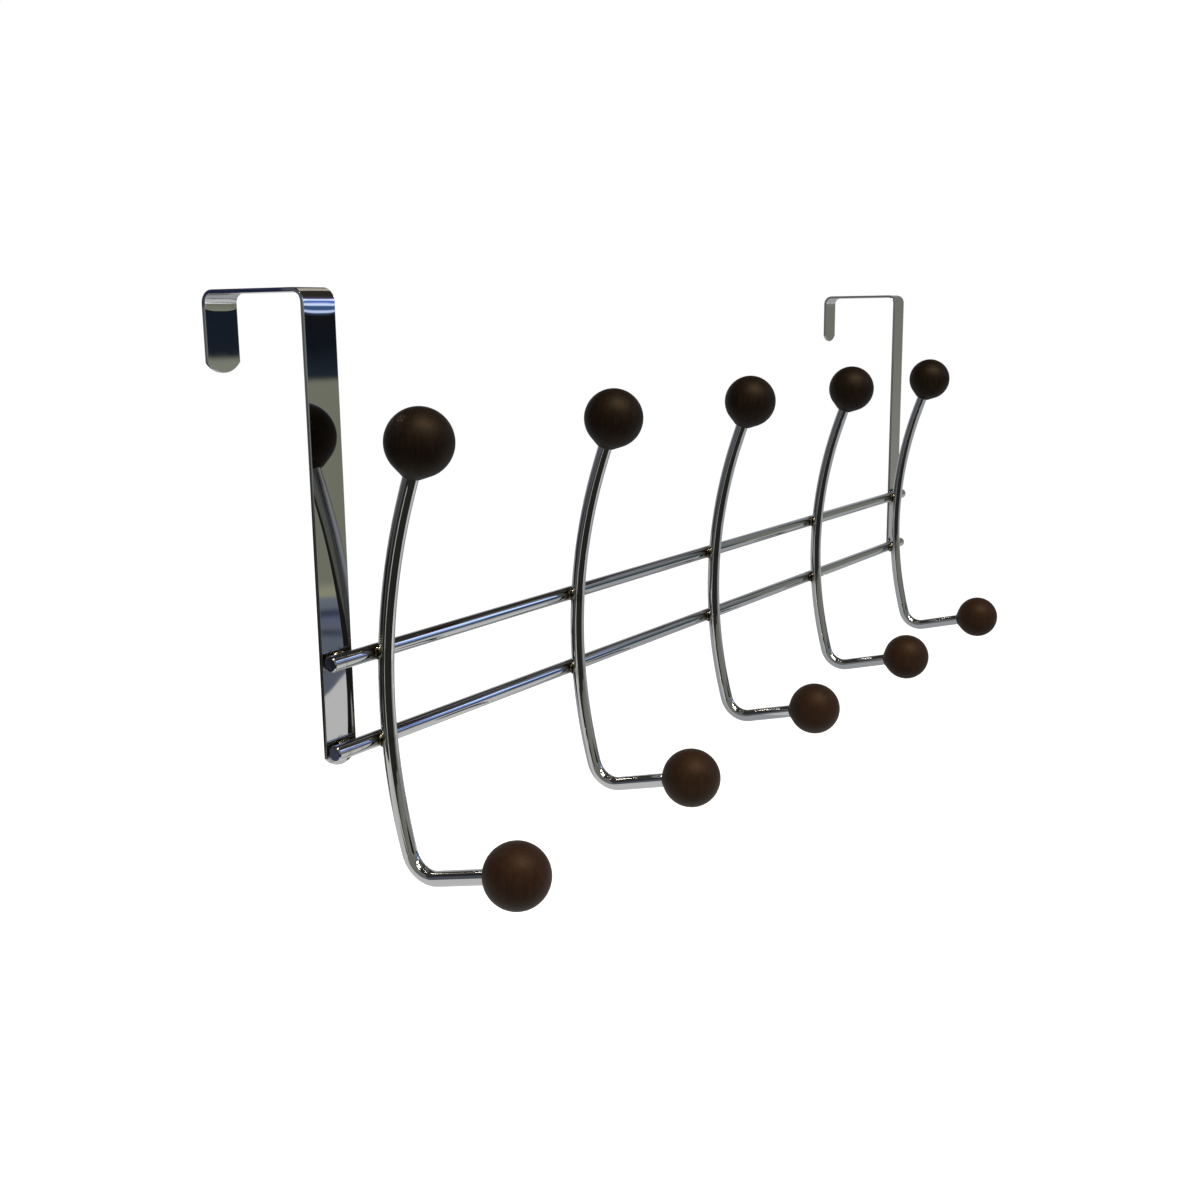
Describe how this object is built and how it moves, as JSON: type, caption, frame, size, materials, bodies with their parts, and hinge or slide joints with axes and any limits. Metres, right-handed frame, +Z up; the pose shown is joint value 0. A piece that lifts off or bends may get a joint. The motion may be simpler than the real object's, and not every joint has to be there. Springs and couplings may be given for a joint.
{
  "type": "over door hook rail",
  "caption": "Hook rail that hangs over a door: flat steel straps bent over its top edge, round rods welded across them, and double wire hooks tipped with dark wooden balls.",
  "frame": {"origin": "on the door's top front edge, midway between the two straps", "axes": "+X along the rods to the right as seen from the room, +Y into the door, +Z up"},
  "size_m": [0.5484, 0.128, 0.217],
  "materials": {
    "chrome_steel": "bright chrome plate on steel",
    "dark_wood": "turned wood, espresso stain under satin lacquer"
  },
  "bodies": {
    "root": {"left_door_strap": "chrome_steel", "right_door_strap": "chrome_steel", "upper_rail": "chrome_steel", "lower_rail": "chrome_steel", "hook_wire_1": "chrome_steel", "hook_wire_2": "chrome_steel", "hook_wire_3": "chrome_steel", "hook_wire_4": "chrome_steel", "hook_wire_5": "chrome_steel", "upper_ball_1": "dark_wood", "upper_ball_2": "dark_wood", "upper_ball_3": "dark_wood", "upper_ball_4": "dark_wood", "upper_ball_5": "dark_wood", "lower_ball_1": "dark_wood", "lower_ball_2": "dark_wood", "lower_ball_3": "dark_wood", "lower_ball_4": "dark_wood", "lower_ball_5": "dark_wood"}
  },
  "joints": []
}
